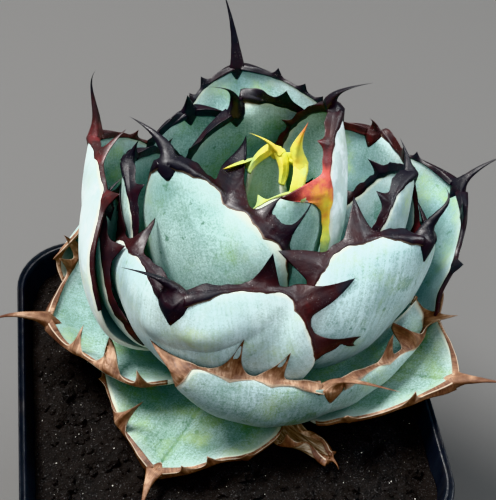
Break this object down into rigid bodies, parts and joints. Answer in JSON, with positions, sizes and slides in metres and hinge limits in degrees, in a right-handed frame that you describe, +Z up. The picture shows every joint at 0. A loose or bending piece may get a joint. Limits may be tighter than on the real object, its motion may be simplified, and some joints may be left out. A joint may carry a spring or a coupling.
{
  "type": "potted agave",
  "caption": "Compact rosette of broad cupped blue-grey leaves with dark horned margins, hooked teeth and end spines, in a tapered square black nursery pot of soil.",
  "frame": {"origin": "centre of the pot's flat underside, on the surface it stands on", "axes": "+Z up; the pot's four sides face +X, -X, +Y and -Y; the picture looks at the -Y side from above and a little from the left"},
  "size_m": [0.1332, 0.1312, 0.1553],
  "materials": {
    "black_plastic": "satin thin injection-moulded plastic",
    "peat": "damp, granular, nearly black",
    "stem_flesh": "matt pale flesh",
    "glaucous_leaf": "blue-green flesh under a matt waxy bloom",
    "dark_horn": "hard purple-black horn, half gloss, pitted",
    "dry_horn": "aged papery brown horn",
    "young_horn": "fresh yellow to red horn, soft and slightly glossy",
    "dry_leaf": "dried, papery"
  },
  "bodies": {
    "root": {"bud": "young_horn", "horn_back": "dark_horn", "horn_back_left": "dark_horn", "horn_ball": "dark_horn", "horn_dry": "dry_horn", "horn_far_left": "dark_horn", "horn_far_right": "dark_horn", "horn_front": "dry_horn", "horn_front_left": "dark_horn", "horn_front_right": "dark_horn", "horn_inner_back": "dark_horn", "horn_inner_front": "young_horn", "horn_inner_left": "dark_horn", "horn_inner_right": "dark_horn", "horn_left": "dark_horn", "horn_low_back_left": "dry_horn", "horn_low_back_right": "dry_horn", "horn_low_left": "dry_horn", "horn_low_right": "dry_horn", "horn_lowest": "dry_horn", "horn_right_back": "dark_horn", "horn_right_fold": "dark_horn", "horn_young_1": "young_horn", "horn_young_2": "young_horn", "leaf_back": "glaucous_leaf", "leaf_back_left": "glaucous_leaf", "leaf_ball": "glaucous_leaf", "leaf_dry": "dry_leaf", "leaf_far_left": "glaucous_leaf", "leaf_far_right": "glaucous_leaf", "leaf_front": "glaucous_leaf", "leaf_front_left": "glaucous_leaf", "leaf_front_right": "glaucous_leaf", "leaf_inner_back": "glaucous_leaf", "leaf_inner_front": "glaucous_leaf", "leaf_inner_left": "glaucous_leaf", "leaf_inner_right": "glaucous_leaf", "leaf_left": "glaucous_leaf", "leaf_low_back_left": "glaucous_leaf", "leaf_low_back_right": "glaucous_leaf", "leaf_low_left": "glaucous_leaf", "leaf_low_right": "glaucous_leaf", "leaf_lowest": "glaucous_leaf", "leaf_right_back": "glaucous_leaf", "leaf_right_fold": "glaucous_leaf", "leaf_young_1": "glaucous_leaf", "leaf_young_2": "glaucous_leaf", "pot": "black_plastic", "soil": "peat", "stem": "stem_flesh"}
  },
  "joints": []
}
